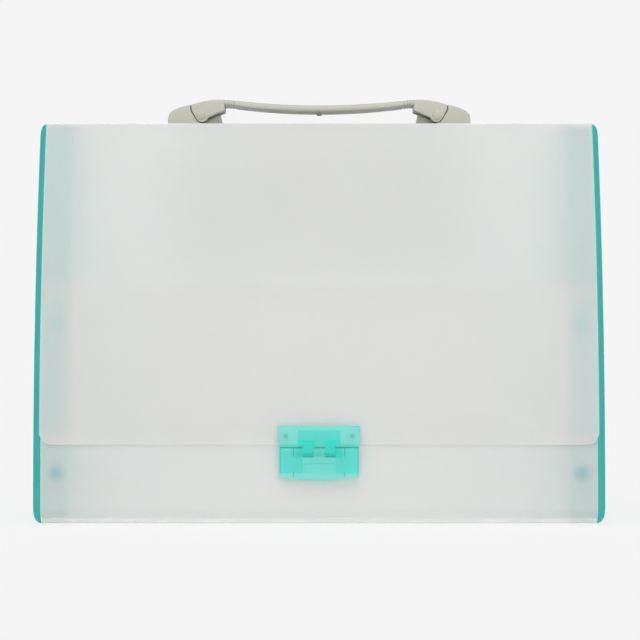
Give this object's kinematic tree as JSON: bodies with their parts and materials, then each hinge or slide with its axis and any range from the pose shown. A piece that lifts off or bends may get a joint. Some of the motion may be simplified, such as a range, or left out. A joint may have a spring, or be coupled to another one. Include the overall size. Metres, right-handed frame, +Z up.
{
  "type": "portable file box",
  "caption": "Slim portable box for papers: frosted folded sheet on two coloured end caps, lid with front flap, snap latch and carrying handle on top.",
  "frame": {"origin": "on the floor, under the middle of the case's foot, half way between the end caps and between the front's foot and the back wall", "axes": "+X along the width to the right as seen from the front, -Y out of the front, +Z up"},
  "size_m": [0.345, 0.0963, 0.2606],
  "materials": {
    "frosted_sheet": "frosted translucent polypropylene sheet",
    "end_cap_plastic": "translucent teal moulding, satin",
    "latch_plastic": "translucent light teal moulding",
    "rivet_plastic": "teal moulded rivets",
    "handle_plastic": "warm grey-beige moulding, satin",
    "pin_steel": "plain steel"
  },
  "bodies": {
    "case": {"wall_sheet": "frosted_sheet", "left_end_cap": "end_cap_plastic", "right_end_cap": "end_cap_plastic", "latch_catch": "latch_plastic", "catch_rivets": "rivet_plastic"},
    "lid": {"lid_top": "frosted_sheet", "backing_plate": "handle_plastic", "shoe_screws": "pin_steel", "left_shoe": "handle_plastic", "right_shoe": "handle_plastic"},
    "front_flap": {"flap": "frosted_sheet", "latch_plate": "latch_plastic", "plate_rivets": "rivet_plastic", "latch_pin": "pin_steel"},
    "lever": {"latch_lever": "latch_plastic"},
    "grip": {"grip_strap": "handle_plastic"},
    "knuckle_left": {"left_knuckle": "handle_plastic", "left_pivot_pin": "handle_plastic"},
    "knuckle_right": {"right_knuckle": "handle_plastic", "right_pivot_pin": "handle_plastic"}
  },
  "joints": [
    {"name": "lid_hinge", "type": "hinge", "parent": "case", "child": "lid", "pos_m": [0, 0.045, 0.244], "axis": [-1, 0, 0], "range_deg": [0, 200]},
    {"name": "flap_hinge", "type": "hinge", "parent": "lid", "child": "front_flap", "pos_m": [0, -0.01036, 0.244], "axis": [-1, 0, 0], "range_deg": [0, 100]},
    {"name": "lever_hinge", "type": "hinge", "parent": "front_flap", "child": "lever", "pos_m": [0, -0.04757, 0.04379], "axis": [-1, 0, 0], "range_deg": [0, 90]},
    {"name": "grip_lift", "type": "slide", "parent": "lid", "child": "grip", "axis": [0, 0, 1], "range_m": [0, 0.007]},
    {"name": "left_flex", "type": "hinge", "parent": "grip", "child": "knuckle_left", "pos_m": [-0.056, 0.01799, 0.2586], "axis": [0, -1, 0], "range_deg": [0, 26.05]},
    {"name": "right_flex", "type": "hinge", "parent": "grip", "child": "knuckle_right", "pos_m": [0.056, 0.01799, 0.2586], "axis": [0, 1, 0], "range_deg": [0, 26.05]}
  ],
  "couplings": [
    {"joint": "left_flex", "follows": "grip_lift", "rad_per_m": 64.825},
    {"joint": "right_flex", "follows": "grip_lift", "rad_per_m": 64.825}
  ]
}
